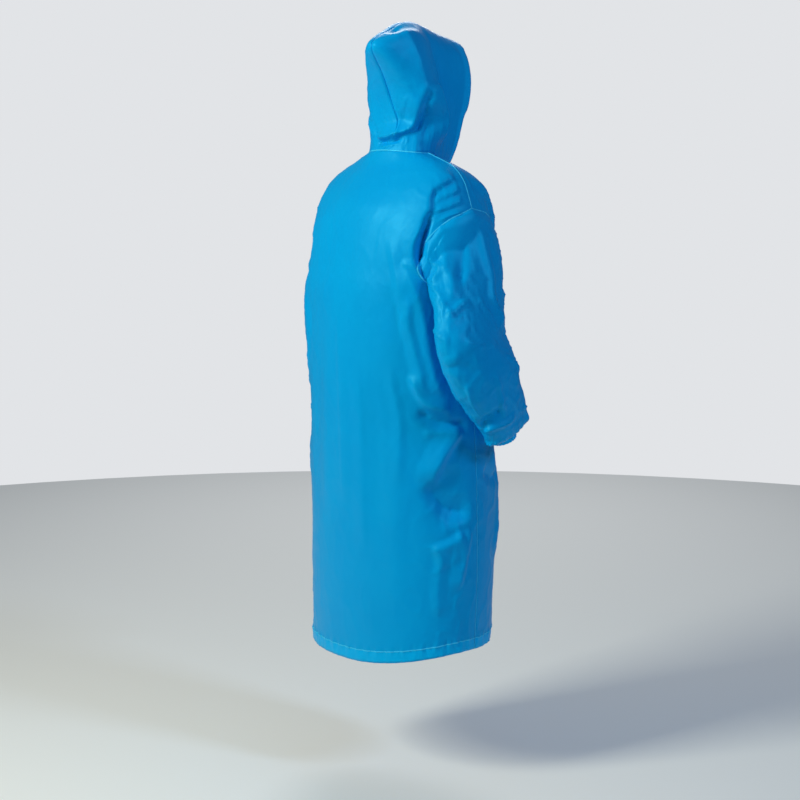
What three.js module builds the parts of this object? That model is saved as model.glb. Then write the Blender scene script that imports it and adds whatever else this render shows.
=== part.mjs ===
// A hooded, knee-length raincoat in blue film, closed at the front, in the shape it has when it is worn.
// Millimetres, Z up. The front faces -Y and the coat's own right side is at -X.
// The origin is the middle of the neck opening, level with the inner ends of the shoulder seams.
import * as THREE from 'three';

// Sizes of the coat
const WALL = 1.5;
const SEAM_GAP = 0.32;
const SHOULDER_TIP_HEIGHT = -122;
const UNDERARM_HEIGHT = -333;
const SIDE_LENGTH = 842;
const HEM_HEIGHT = 27;
const HEM_STEP = 3;
const FRONT_OVERLAP = 20;
const FLAP_CORNER = 0.1;
const NECK_CORNER = 0.04;
const OVERLAP_GAP = 0.9;
const SLEEVE_CLEARANCE = 7;
const SLEEVE_UPRIGHT = 0.12;
const ARMHOLE_REACH = 0.42;
const HOOD_TURN = 10;
const HOOD_CENTRE = 40;
const CUFF_HEIGHT = 17;
const CUFF_OFFSET = 0.8;
const CUFF_GATHERS = 12;
const CUFF_GATHER_DEPTH = 1.3;
const SNAP_RADIUS = 6.5;
const SNAP_HEIGHT = 2.4;
const SNAP_SEGMENTS = 12;
const SNAP_ROWS = [9, 17, 20, 23, 26, 29];

// How finely the pieces are divided
const BACK_COLUMNS = 11;
const FRONT_COLUMNS = 10;
const SHOULDER_ROWS = 5;
const ARMHOLE_ROWS = 12;
const SKIRT_ROWS = 16;
const SLEEVE_ROWS = 17;
const HOOD_COLUMNS = 10;

const RIGHT = -1;
const LEFT = 1;
const BACK = 1;
const FRONT = -1;

// The steps down the body: 0 at the neck, 1 at the shoulder tip, 2 at the underarm, 3 at the hem.
// Half width of the body: step, right side, left side
const HALF_WIDTH = [
  [0, 85, 85],
  [0.25, 131, 131],
  [0.43, 165, 165],
  [0.58, 188, 188],
  [0.71, 203, 203],
  [0.87, 215, 215],
  [1, 223, 223],
  [1.33, 231, 236],
  [1.66, 228, 243],
  [2, 220, 247],
  [2.12, 219, 249],
  [2.25, 224, 249],
  [2.4, 238, 248],
  [2.6, 245, 247],
  [2.8, 246, 246],
  [3, 239, 245],
];

// Middle of the back and of the front: step, depth, height, how square the cross-section is
const MIDDLE_BACK = [
  [0, 62, 9, 0],
  [0.25, 74, -22, 0],
  [0.5, 96, -52, 0],
  [0.75, 121, -86, 0],
  [1, 143, -124, 0],
  [1.33, 158, -182, 0],
  [1.66, 169, -255, 0.01],
  [2, 177, -338, 0.02],
  [2.25, 176, -545, 0.02],
  [2.6, 172, -838, 0.02],
  [3, 170, -1178, 0.02],
];
const MIDDLE_FRONT = [
  [0, 90, -80, 0],
  [0.25, 102, -88, 0.04],
  [0.5, 115, -98, 0.09],
  [0.75, 128, -114, 0.1],
  [1, 140, -136, 0.08],
  [1.33, 152, -192, 0.05],
  [1.66, 162, -260, 0.04],
  [2, 168, -338, 0.04],
  [2.25, 174, -540, 0.03],
  [2.6, 174, -810, 0.02],
  [3, 168, -1122, 0.02],
];

// Shoulder seam and side seams: step, height on the right, height on the left
const SEAM_HEIGHT = [
  [0, 2, 2],
  [0.25, -14, -22],
  [0.43, -29, -40],
  [0.58, -47, -58],
  [0.71, -68, -76],
  [0.87, -98, -100],
  [1, -122, -122],
];
const SIDE_HEIGHT = [
  [2, -333, -333],
  [3, -1166, -1176],
];

// Armhole seam, from the shoulder tip to the underarm: step, angle from the middle, height
const ARMHOLE_BACK = [
  [1, 90, -122],
  [1.18, 68, -145],
  [1.38, 53, -184],
  [1.52, 48, -222],
  [1.66, 47.5, -262],
  [1.8, 58, -298],
  [1.92, 76, -324],
  [2, 90, -333],
];
const ARMHOLE_FRONT = [
  [1, 90, -122],
  [1.16, 68, -137],
  [1.34, 54, -172],
  [1.5, 50, -216],
  [1.66, 49.5, -258],
  [1.8, 60, -297],
  [1.92, 77, -324],
  [2, 90, -333],
];

// Sleeves, from the armhole to the cuff:
// step, outer side (out, back, height), inner side (out, back, height), half depth
const SLEEVE_RIGHT = [
  [0, 223, 0, -122, 220, 0, -333, 106],
  [0.12, 236, 12, -192, 223, 17, -350, 101],
  [0.24, 253, 29, -262, 227, 34, -372, 99],
  [0.36, 292, 43, -335, 228, 46, -400, 104],
  [0.48, 322, 50, -410, 227, 54, -438, 106],
  [0.6, 340, 28, -472, 231, 30, -490, 98],
  [0.71, 338, 2, -524, 238, 4, -538, 86],
  [0.82, 334, -28, -570, 246, -26, -580, 76],
  [0.91, 326, -48, -606, 248, -44, -612, 68],
  [0.96, 318, -60, -626, 248, -56, -630, 68],
  [1, 298, -58, -634, 240, -55, -636, 32],
];
const SLEEVE_LEFT = [
  [0, 223, 0, -122, 247, 0, -333, 104],
  [0.12, 246, -46, -190, 252, -48, -345, 86],
  [0.24, 271, -72, -255, 253, -78, -362, 89],
  [0.36, 286, -110, -312, 253, -114, -385, 87],
  [0.48, 292, -148, -362, 247, -148, -410, 84],
  [0.6, 290, -186, -408, 236, -182, -436, 78],
  [0.71, 284, -220, -446, 222, -214, -462, 72],
  [0.82, 272, -254, -482, 206, -246, -490, 66],
  [0.91, 262, -280, -508, 198, -270, -512, 60],
  [0.96, 258, -292, -520, 200, -282, -523, 54],
  [1, 254, -299, -526, 198, -290, -528, 32],
];

// Hood, in slices from the nape over the crown to the brim:
// step, seam (aside, back, height), beside the seam (out, back, height), above the neck (out, back, height)
const HOOD_SLICES = [
  [0, 0, 62, 9, 0, 62, 9, 0, 62, 9],
  [0.06, 0, 60, 32, 8, 60, 26, 16, 60, 17],
  [0.13, -22, 53, 62, 10, 57, 56, 26, 54, 26],
  [0.25, -14, 60, 124, 26, 58, 114, 54, 38, 52],
  [0.36, -4, 94, 192, 50, 84, 180, 70, 10, 84],
  [0.44, 0, 130, 240, 58, 110, 230, 78, -14, 108],
  [0.5, 0, 118, 267, 66, 104, 258, 87, -26, 122],
  [0.6, 0, 64, 292, 76, 60, 291, 98, -46, 138],
  [0.75, 0, -15, 304, 88, -20, 303, 106, -72, 135],
  [0.88, 0, -88, 301, 100, -92, 302, 116, -98, 70],
  [1, 0, -150, 288, 154, -150, 306, 120, -118, -36],
];

// Largest folds: from (angle, height) to (angle, height), half width, how far the fold stands out.
// The angle is in degrees from the middle of the back, to the coat's right.
const BODY_RADIUS = 210;
const BODY_FOLDS = [
  // From the right shoulder down to the armpit
  [80, -52, 53, -100, 20, 7],
  [54, -96, 42, -205, 22, 11],
  [42, -190, 47, -270, 20, 8],
  [51, -170, 50, -262, 14, -9],
  [33, -110, 30, -240, 26, -5],
  // From the armpit down and out to the side
  [37, -286, 50, -484, 24, 6],
  [54, -350, 60, -500, 22, -6],
  // Across the side, below the sleeve
  [45, -512, 66, -572, 26, 8],
  [46, -586, 80, -614, 26, -9],
  [78, -618, 57, -728, 28, 8],
  [60, -780, 80, -810, 34, -8],
  [82, -850, 75, -930, 28, 6],
  // Long soft ones down the back
  [-3, -470, -4, -860, 30, 5],
  [12, -560, 9, -1040, 28, 4],
  [28, -240, 32, -420, 28, 4],
  [-26, -300, -32, -900, 30, -4],
  // The left side and the fronts
  [-44, -170, -36, -290, 22, 7],
  [-62, -380, -54, -700, 28, -6],
  [-80, -520, -84, -900, 28, 6],
  [-128, -330, -140, -640, 28, 7],
  [-150, -560, -146, -960, 26, -5],
  [132, -330, 146, -600, 28, 7],
  [118, -640, 126, -980, 28, 6],
  [152, -620, 148, -900, 26, -5],
];
const SLEEVE_RADIUS = 85;
const SLEEVE_FOLDS_RIGHT = [
  [26, -160, 22, -420, 18, 4],
  [150, -330, 60, -372, 20, -6],
  [60, -400, 10, -436, 20, 6],
  [110, -450, 30, -476, 20, -6],
  [130, -520, 40, -560, 20, 5],
  [300, -400, 350, -440, 22, -6],
  [290, -470, 350, -520, 22, 5],
];
const SLEEVE_FOLDS_LEFT = [
  [26, -150, 40, -330, 20, 5],
  [100, -300, 30, -352, 20, -5],
  [230, -360, 300, -330, 20, 6],
  [70, -400, 10, -450, 20, 5],
  [300, -390, 350, -430, 20, -5],
];
const HOOD_RADIUS = 95;
const HOOD_FOLDS = [
  [95, 150, 62, 64, 20, 7],
  [64, 64, 8, 44, 14, 6],
  [100, 66, 96, 24, 18, -5],
  [-60, 120, -44, 50, 20, 6],
  [-84, 90, -70, 36, 18, -5],
];

const film = () => new THREE.MeshStandardMaterial({ color: '#0d92c8', roughness: 0.34, metalness: 0 });
const snapPlastic = () => new THREE.MeshStandardMaterial({ color: '#0b7cb4', roughness: 0.3, metalness: 0 });

// Reads a table whose first column rises, and returns its other columns on a smooth curve through the rows
function readTable(table, step) {
  let row = 0;
  while (row < table.length - 2 && step > table[row + 1][0]) row += 1;
  const near = table[row];
  const far = table[row + 1];
  const before = table[row - 1] ?? near;
  const after = table[row + 2] ?? far;
  const span = far[0] - near[0];
  const share = (step - near[0]) / span;
  const values = [];
  for (let column = 1; column < near.length; column += 1) {
    const rise = far[column] - near[column];
    const slopeNear = before === near ? rise : (span * (far[column] - before[column])) / (far[0] - before[0]);
    const slopeFar = after === far ? rise : (span * (after[column] - near[column])) / (after[0] - near[0]);
    const square = share * share;
    const cube = square * share;
    values.push(
      near[column] * (2 * cube - 3 * square + 1) +
        slopeNear * (cube - 2 * square + share) +
        far[column] * (3 * square - 2 * cube) +
        slopeFar * (cube - square),
    );
  }
  return values;
}

const smooth = (share) => {
  const kept = Math.min(1, Math.max(0, share));
  return kept * kept * (3 - 2 * kept);
};

function spread(from, to, count) {
  return Array.from({ length: count + 1 }, (_, index) => from + ((to - from) * index) / count);
}

// Height and angle of a body panel's edge: shoulder seam, armhole and side seam
function bodyEdge(side, face, step) {
  const column = side === RIGHT ? 0 : 1;
  if (step <= 1) return { angle: 90, height: readTable(SEAM_HEIGHT, step)[column] };
  if (step >= 2) return { angle: 90, height: readTable(SIDE_HEIGHT, step)[column] };
  const [angle, height] = readTable(face === BACK ? ARMHOLE_BACK : ARMHOLE_FRONT, step);
  return { angle, height };
}

// How far the folds stand out at a place on the body
function foldsAt(folds, radius, angle, height) {
  let out = 0;
  for (const [angleFrom, heightFrom, angleTo, heightTo, halfWidth, stand] of folds) {
    const scale = (Math.PI / 180) * radius;
    const alongX = (angleTo - angleFrom) * scale;
    const alongZ = heightTo - heightFrom;
    const length = Math.hypot(alongX, alongZ);
    const offX = (angle - angleFrom) * scale;
    const offZ = height - heightFrom;
    const share = (offX * alongX + offZ * alongZ) / (length * length);
    const aside = Math.abs(offX * alongZ - offZ * alongX) / length / halfWidth;
    const fade = smooth(share / 0.25) * smooth((1 - share) / 0.25);
    out += stand * fade * Math.exp(-aside * aside);
  }
  return out;
}

// A place on the body: turn is 0 at the middle of the back or front and 1 at the seam
function bodyPoint(side, face, step, turn) {
  const [depth, middleHeight, square] = readTable(face === BACK ? MIDDLE_BACK : MIDDLE_FRONT, step);
  const reach = readTable(HALF_WIDTH, step)[side === RIGHT ? 0 : 1];
  const edge = bodyEdge(side, face, step);
  const full = (edge.angle * Math.PI) / 180;
  const angle = turn < 0 ? turn * Math.asin(FRONT_OVERLAP / reach) : turn * full;
  const fuller = 1 + square * Math.sin(2 * angle) ** 2;
  const x = side * reach * Math.sin(angle) * fuller;
  const y = face * depth * Math.cos(angle) * fuller;
  const z = middleHeight + ((edge.height - middleHeight) * Math.sin(angle) ** 2) / Math.sin(full) ** 2;
  const away = new THREE.Vector3(x / (reach * reach), y / (depth * depth), 0).normalize();
  const around = (Math.atan2(-x / reach, y / depth) * 180) / Math.PI;
  return new THREE.Vector3(x, y, z).addScaledVector(away, foldsAt(BODY_FOLDS, BODY_RADIUS, around, z));
}

// The turns of a front panel's columns, with one just past the overlap
function frontTurns(side, step) {
  const reach = readTable(HALF_WIDTH, step)[side === RIGHT ? 0 : 1];
  const full = (bodyEdge(side, FRONT, step).angle * Math.PI) / 180;
  return [-1, 0, ...spread(Math.asin((FRONT_OVERLAP + 2) / reach) / full, 1, FRONT_COLUMNS - 1)];
}

// A place on a front panel: in the overlap the left panel lies outside and the right one inside
function frontPoint(side, step, turn, column) {
  const point = bodyPoint(side, FRONT, turn < 0 ? Math.max(step, FLAP_CORNER) : step, turn);
  if (column > 2) return point;
  const [depthAbove, heightAbove] = readTable(MIDDLE_FRONT, Math.max(0, step - 0.02));
  const [depthBelow, heightBelow] = readTable(MIDDLE_FRONT, Math.min(3, step + 0.02));
  const away = new THREE.Vector3(0, heightBelow - heightAbove, depthBelow - depthAbove).normalize();
  return point.addScaledVector(away, (side === LEFT ? 1 : -1) * ((WALL + OVERLAP_GAP) / 2));
}

// The steps at which the body panels have their rows, with two close rows where the turned hem starts
const hemStart = 3 - HEM_HEIGHT / SIDE_LENGTH;
const bodySteps = [
  ...spread(0, 1, SHOULDER_ROWS),
  ...spread(1, 2, ARMHOLE_ROWS).slice(1),
  ...spread(2, hemStart - HEM_STEP / SIDE_LENGTH, SKIRT_ROWS).slice(1),
  hemStart,
  3,
];
const hemRow = bodySteps.length - 2;

// Works out the outward normals of a grid, added up where pieces share a seam
const seamNormals = new Map();
const seamKey = (point) => point.toArray().map((value) => Math.round(value * 100) + 0).join(' ');

function gridFaces(rows, closed) {
  const columns = rows[0].length;
  const faces = [];
  for (let r = 0; r < rows.length - 1; r += 1) {
    for (let c = 0; c < (closed ? columns : columns - 1); c += 1) {
      const next = (c + 1) % columns;
      faces.push([[r, c], [r + 1, c], [r + 1, next]], [[r, c], [r + 1, next], [r, next]]);
    }
  }
  return faces;
}

function faceNormal(rows, face) {
  const [a, b, c] = face.map(([r, column]) => rows[r][column]);
  return new THREE.Vector3().crossVectors(b.clone().sub(a), c.clone().sub(a));
}

// Turns the grid over if its faces look inwards
function facingOut(panel) {
  const middle = new THREE.Vector3();
  const points = panel.rows.flat();
  for (const point of points) middle.addScaledVector(point, 1 / points.length);
  let outward = 0;
  for (const face of gridFaces(panel.rows, panel.closed)) {
    const [r, c] = face[0];
    outward += faceNormal(panel.rows, face).dot(panel.rows[r][c].clone().sub(middle));
  }
  if (outward > 0) return panel;
  const turned = (grid) => grid.map((row) => [...row].reverse());
  return { ...panel, rows: turned(panel.rows), lining: turned(panel.lining) };
}

function addNormals(panel) {
  for (const face of gridFaces(panel.rows, panel.closed)) {
    const normal = faceNormal(panel.rows, face);
    if (normal.length() < 1e-6) continue;
    normal.normalize();
    for (const [r, c] of face) {
      const key = seamKey(panel.rows[r][c]);
      const sum = seamNormals.get(key) ?? new THREE.Vector3();
      seamNormals.set(key, sum.add(normal));
    }
  }
}

// Closes a grid into a film wall: an outer and an inner skin with a rim, short of each edge by half the gap
function wallGeometry(panel) {
  const { rows, closed, lining } = panel;
  const lastRow = rows.length - 1;
  const lastColumn = rows[0].length - 1;
  const columns = rows[0].length;
  const wrap = (c) => (closed ? (c + columns) % columns : Math.min(lastColumn, Math.max(0, c)));
  const shifted = rows.map((row) => row.map((point) => point.clone()));
  const normals = rows.map((row) => row.map((point) => seamNormals.get(seamKey(point)).clone().normalize()));
  const inset = (r, c, inward) => shifted[r][c].addScaledVector(inward.normalize(), SEAM_GAP / 2);
  for (let r = 0; r <= lastRow; r += 1) {
    for (let c = 0; c <= lastColumn; c += 1) {
      const down = rows[Math.min(lastRow, r + 1)][c].clone().sub(rows[Math.max(0, r - 1)][c]);
      const across = rows[r][wrap(c + 1)].clone().sub(rows[r][wrap(c - 1)]);
      if (r === 0 && across.length() > 0.01) inset(r, c, across.cross(normals[r][c]));
      else if (r === lastRow) inset(r, c, across.cross(normals[r][c]).negate());
      if (!closed && c === 0) inset(r, c, normals[r][c].clone().cross(down));
      if (!closed && c === lastColumn) inset(r, c, normals[r][c].clone().cross(down).negate());
    }
  }
  const positions = [];
  const outer = [];
  const inner = [];
  const place = (point) => {
    positions.push(point.x, point.y, point.z);
    return positions.length / 3 - 1;
  };
  for (let r = 0; r <= lastRow; r += 1) {
    outer.push([]);
    inner.push([]);
    for (let c = 0; c <= lastColumn; c += 1) {
      const same = c > 0 && rows[r][c].distanceTo(rows[r][c - 1]) < 0.01;
      if (same) {
        outer[r].push(outer[r][c - 1]);
        inner[r].push(inner[r][c - 1]);
        continue;
      }
      outer[r].push(place(shifted[r][c].clone().addScaledVector(normals[r][c], WALL / 2)));
      inner[r].push(place(shifted[r][c].clone().addScaledVector(normals[r][c], -WALL / 2 - lining[r][c])));
    }
  }
  const triangles = [];
  const triangle = (a, b, c) => {
    if (a !== b && b !== c && a !== c) triangles.push(a, b, c);
  };
  for (const face of gridFaces(rows, closed)) {
    const [a, b, c] = face;
    triangle(outer[a[0]][a[1]], outer[b[0]][b[1]], outer[c[0]][c[1]]);
    triangle(inner[a[0]][a[1]], inner[c[0]][c[1]], inner[b[0]][b[1]]);
  }
  const rim = (a, b, c, d) => {
    triangle(a, b, c);
    triangle(a, c, d);
  };
  for (let c = 0; c < (closed ? columns : lastColumn); c += 1) {
    const next = (c + 1) % columns;
    rim(outer[0][c], outer[0][next], inner[0][next], inner[0][c]);
    rim(outer[lastRow][next], outer[lastRow][c], inner[lastRow][c], inner[lastRow][next]);
  }
  if (!closed) {
    for (let r = 0; r < lastRow; r += 1) {
      rim(outer[r + 1][0], outer[r][0], inner[r][0], inner[r + 1][0]);
      rim(outer[r][lastColumn], outer[r + 1][lastColumn], inner[r + 1][lastColumn], inner[r][lastColumn]);
    }
  }
  const geometry = new THREE.BufferGeometry();
  geometry.setAttribute('position', new THREE.Float32BufferAttribute(positions, 3));
  geometry.setIndex(triangles);
  geometry.computeVertexNormals();
  return geometry;
}

const plain = (rows) => rows.map((row) => row.map(() => 0));
const hemLining = (rows, from = 0) =>
  rows.map((row, r) => row.map((_, c) => (r >= hemRow && c >= from ? WALL : 0)));

// Back panel, from the right side seam to the left one
function backPanel() {
  const turns = spread(0, 1, BACK_COLUMNS);
  const rows = bodySteps.map((step) => [
    ...[...turns].reverse().map((turn) => bodyPoint(RIGHT, BACK, step, turn)),
    ...turns.slice(1).map((turn) => bodyPoint(LEFT, BACK, step, turn)),
  ]);
  return facingOut({ name: 'back', rows, closed: false, lining: hemLining(rows) });
}

// Front panels; the left one lies over the right one in the middle
function frontPanel(side) {
  const rows = bodySteps.map((step) =>
    frontTurns(side, step).map((turn, column) =>
      frontPoint(side, column === 1 ? Math.max(step, NECK_CORNER) : step, turn, column),
    ),
  );
  const name = side === RIGHT ? 'front_right' : 'front_left';
  return facingOut({ name, rows, closed: false, lining: hemLining(rows, side === LEFT ? 3 : 0) });
}

// The direction in which a sleeve runs at a step
function sleeveDirection(side, step) {
  const table = side === RIGHT ? SLEEVE_RIGHT : SLEEVE_LEFT;
  const [ax, ay, az, bx, by, bz] = readTable(table, Math.min(1, step + 0.05));
  const [cx, cy, cz, dx, dy, dz] = readTable(table, Math.max(0, Math.min(0.9, step - 0.05)));
  return new THREE.Vector3(side * (ax + bx - cx - dx), ay + by - cy - dy, az + bz - cz - dz).normalize();
}

// Moves a place on the sleeve out of the body's side, where the sleeve hangs against it
function clearOfBody(side, point, clearance) {
  const below = UNDERARM_HEIGHT - point.z;
  const step = below > 0
    ? 2 + below / SIDE_LENGTH
    : Math.max(1, 2 + below / (SHOULDER_TIP_HEIGHT - UNDERARM_HEIGHT));
  const reach = readTable(HALF_WIDTH, step)[side === RIGHT ? 0 : 1];
  const [depth, , square] = readTable(point.y > 0 ? MIDDLE_BACK : MIDDLE_FRONT, step);
  const ratio = Math.hypot(point.x / reach, point.y / depth);
  const angle = Math.atan2(Math.abs(point.x) / reach, Math.abs(point.y) / depth);
  const least = 1 + square * Math.sin(2 * angle) ** 2 + clearance / depth;
  if (ratio > least) return point;
  point.x *= least / ratio;
  point.y *= least / ratio;
  return point;
}

// A sleeve ring: the first one is the armhole itself
function sleevePoint(side, step, index, count) {
  const table = side === RIGHT ? SLEEVE_RIGHT : SLEEVE_LEFT;
  const [ox, oy, oz, ix, iy, iz, depth] = readTable(table, step);
  const outer = new THREE.Vector3(side * ox, oy, oz);
  const inner = new THREE.Vector3(side * ix, iy, iz);
  const middle = outer.clone().add(inner).multiplyScalar(0.5);
  const along = sleeveDirection(side, step);
  const half = outer.clone().sub(inner).multiplyScalar(0.5);
  const aside = new THREE.Vector3().crossVectors(along, half).normalize().multiplyScalar(-side);
  if (step < SLEEVE_UPRIGHT) aside.lerp(new THREE.Vector3(0, 1, 0), 1 - step / SLEEVE_UPRIGHT).normalize();
  const angle = (2 * Math.PI * index) / count;
  const ring = middle
    .clone()
    .addScaledVector(half, Math.cos(angle))
    .addScaledVector(aside, depth * Math.sin(angle));
  const blend = 1 - Math.min(1, step / ARMHOLE_REACH);
  const rowsHalf = count / 2;
  const faceRow = index <= rowsHalf ? index : count - index;
  const armhole = bodyPoint(side, index <= rowsHalf ? BACK : FRONT, 1 + faceRow / rowsHalf, 1);
  if (step === 0) return armhole;
  const point = ring.lerp(armhole, blend * blend);
  const folds = side === RIGHT ? SLEEVE_FOLDS_RIGHT : SLEEVE_FOLDS_LEFT;
  const stand = foldsAt(folds, SLEEVE_RADIUS, (angle * 180) / Math.PI, point.z);
  const away = half.clone().setLength(Math.cos(angle)).addScaledVector(aside, Math.sin(angle));
  point.addScaledVector(away, stand * smooth(step / 0.15) * smooth((0.96 - step) / 0.1));
  return clearOfBody(side, point, SLEEVE_CLEARANCE * smooth(step / 0.1));
}

function sleevePanel(side) {
  const count = 2 * ARMHOLE_ROWS;
  const rows = spread(0, 1, SLEEVE_ROWS).map((step) =>
    Array.from({ length: count }, (_, index) => sleevePoint(side, step, index, count)),
  );
  const name = side === RIGHT ? 'sleeve_right' : 'sleeve_left';
  return facingOut({ name, rows, closed: true, lining: plain(rows) });
}

// Cuff casing: a short gathered tube at the end of the sleeve
function cuffPanel(side) {
  const count = 4 * CUFF_GATHERS;
  const table = side === RIGHT ? SLEEVE_RIGHT : SLEEVE_LEFT;
  const [ox, oy, oz, ix, iy, iz] = readTable(table, 1);
  const along = sleeveDirection(side, 1);
  const outer = new THREE.Vector3(side * ox, oy, oz);
  const inner = new THREE.Vector3(side * ix, iy, iz);
  const half = outer.clone().sub(inner).multiplyScalar(0.5);
  const radius = half.length();
  half.normalize();
  along.addScaledVector(half, -along.dot(half)).normalize();
  const aside = new THREE.Vector3().crossVectors(along, half);
  const middle = outer.clone().add(inner).multiplyScalar(0.5).addScaledVector(along, CUFF_OFFSET);
  const rows = spread(0, 1, 2).map((share) =>
    Array.from({ length: count }, (_, index) => {
      const angle = (2 * Math.PI * index) / count;
      const gather = Math.sin(angle * CUFF_GATHERS) * CUFF_GATHER_DEPTH * (0.45 + 0.55 * share);
      const reach = radius + gather;
      return middle
        .clone()
        .addScaledVector(along, CUFF_HEIGHT * share)
        .addScaledVector(half, reach * Math.cos(angle))
        .addScaledVector(aside, reach * Math.sin(angle));
    }),
  );
  const name = side === RIGHT ? 'cuff_right' : 'cuff_left';
  return facingOut({ name, rows, closed: true, lining: plain(rows) });
}

// A place on the hood: slice 0 is the nape and 1 the face edge, drop is 0 at the crown seam and 1 at the neck
function hoodPoint(side, slice, neck, drop) {
  if (slice === 0) return neck;
  const [seamAside, seamBack, seamHeight, ...shape] = readTable(HOOD_SLICES, slice);
  const [besideOut, besideBack, besideHeight, fullOut, fullBack, fullHeight] = shape;
  const curve = new THREE.CubicBezierCurve3(
    new THREE.Vector3(seamAside, seamBack, seamHeight),
    new THREE.Vector3(side * besideOut + seamAside, besideBack, besideHeight),
    new THREE.Vector3(side * fullOut, fullBack, fullHeight),
    neck,
  );
  const point = curve.getPoint(drop);
  const turned = point.clone().applyAxisAngle(new THREE.Vector3(0, 0, 1), (HOOD_TURN * Math.PI) / 180);
  const free = smooth((1 - drop) / 0.2);
  const away = new THREE.Vector3(point.x, point.y + HOOD_CENTRE * smooth(point.z / 100), 0).normalize();
  const around = (Math.atan2(-away.x, away.y) * 180) / Math.PI;
  const stand = foldsAt(HOOD_FOLDS, HOOD_RADIUS, around, point.z) * free;
  return point.lerp(turned, smooth((point.z + 20) / 120) * free).addScaledVector(away, stand);
}

function hoodPanel(side) {
  const back = spread(0, 1, BACK_COLUMNS).map((turn) => ({
    slice: turn / 2,
    neck: bodyPoint(side, BACK, 0, turn),
  }));
  const front = frontTurns(side, 0).map((turn, column) => ({
    slice: 1 - turn / 2,
    neck: frontPoint(side, 0, turn, column),
  }));
  const slices = [...back, ...front.slice(1, -1).reverse()];
  const drops = spread(0, 1, HOOD_COLUMNS);
  const rows = slices.map(({ slice, neck }) => drops.map((drop) => hoodPoint(side, slice, neck, drop)));
  const lining = rows.map((row, r) => row.map(() => (r >= rows.length - 2 ? WALL : 0)));
  return facingOut({ name: side === RIGHT ? 'hood_right' : 'hood_left', rows, closed: false, lining });
}

// Snap caps: low domes in the middle of the overlap, on the outer front
function snapCap(index) {
  const step = bodySteps[SNAP_ROWS[index]];
  const seat = frontPoint(LEFT, step, 0, 1);
  const above = frontPoint(LEFT, step - 0.02, 0, 1);
  const below = frontPoint(LEFT, step + 0.02, 0, 1);
  const away = new THREE.Vector3(0, below.z - above.z, above.y - below.y).normalize();
  const profile = [
    [0, 0],
    [SNAP_RADIUS, 0],
    [SNAP_RADIUS, SNAP_HEIGHT * 0.4],
    [SNAP_RADIUS * 0.85, SNAP_HEIGHT * 0.78],
    [SNAP_RADIUS * 0.5, SNAP_HEIGHT * 0.96],
    [0, SNAP_HEIGHT],
  ].map(([radius, height]) => new THREE.Vector2(radius, height));
  const cap = new THREE.Mesh(new THREE.LatheGeometry(profile, SNAP_SEGMENTS), snapPlastic());
  cap.name = `snap_${index + 1}`;
  cap.quaternion.setFromUnitVectors(new THREE.Vector3(0, 1, 0), away);
  cap.position.copy(seat).addScaledVector(away, WALL / 2 + SEAM_GAP);
  return cap;
}

const coat = new THREE.Group();
coat.name = 'raincoat';

const panels = [
  backPanel(),
  frontPanel(RIGHT),
  frontPanel(LEFT),
  sleevePanel(RIGHT),
  sleevePanel(LEFT),
  cuffPanel(RIGHT),
  cuffPanel(LEFT),
  hoodPanel(RIGHT),
  hoodPanel(LEFT),
];
panels.forEach(addNormals);
for (const panel of panels) {
  const mesh = new THREE.Mesh(wallGeometry(panel), film());
  mesh.name = panel.name;
  coat.add(mesh);
}

SNAP_ROWS.forEach((_, index) => coat.add(snapCap(index)));

export default coat;
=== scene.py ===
import math

import bmesh
import bpy
from mathutils import Matrix, Vector, noise


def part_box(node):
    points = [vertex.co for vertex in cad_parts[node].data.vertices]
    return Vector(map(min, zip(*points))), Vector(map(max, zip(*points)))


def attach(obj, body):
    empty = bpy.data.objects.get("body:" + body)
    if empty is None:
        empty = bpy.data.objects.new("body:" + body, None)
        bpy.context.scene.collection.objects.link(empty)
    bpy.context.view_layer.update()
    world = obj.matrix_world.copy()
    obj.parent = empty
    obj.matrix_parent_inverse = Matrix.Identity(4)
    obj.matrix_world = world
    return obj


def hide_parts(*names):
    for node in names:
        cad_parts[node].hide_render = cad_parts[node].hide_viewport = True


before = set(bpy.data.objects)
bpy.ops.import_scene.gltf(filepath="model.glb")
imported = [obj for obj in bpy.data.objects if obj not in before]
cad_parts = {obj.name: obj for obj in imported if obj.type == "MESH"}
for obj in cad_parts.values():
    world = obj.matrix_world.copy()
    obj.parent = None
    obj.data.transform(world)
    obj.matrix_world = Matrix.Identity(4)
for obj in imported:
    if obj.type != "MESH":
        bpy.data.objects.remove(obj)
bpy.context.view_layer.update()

# ---------------------------------------------------------------------------------------------
# Back panel. One piece of clear blue EVA film, cut with the shoulder slopes, the armholes and
# the flared skirt in one. Its sizes are in millimetres and become metres in the mesh.
# The tables run down the body: step 0 is the neck, 1 the shoulder tip, 2 the underarm, 3 the hem.
# ---------------------------------------------------------------------------------------------
MM = 0.001
RIGHT, LEFT = -1, 1
BACK, FRONT = 1, -1
FILM = 1.0
SEAM_GAP = 0.3
# How far each front reaches past the middle
OVERLAP = 20

# step, half width on the right, half width on the left
HALF_WIDTH = (
    (0, 85, 85),
    (0.25, 131, 131),
    (0.43, 165, 165),
    (0.58, 188, 188),
    (0.71, 203, 203),
    (0.87, 215, 215),
    (1, 223, 223),
    (1.33, 231, 236),
    (1.66, 228, 243),
    (2, 220, 247),
    (2.12, 219, 249),
    (2.25, 224, 249),
    (2.4, 238, 248),
    (2.6, 245, 247),
    (2.8, 246, 246),
    (3, 239, 245),
)
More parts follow.
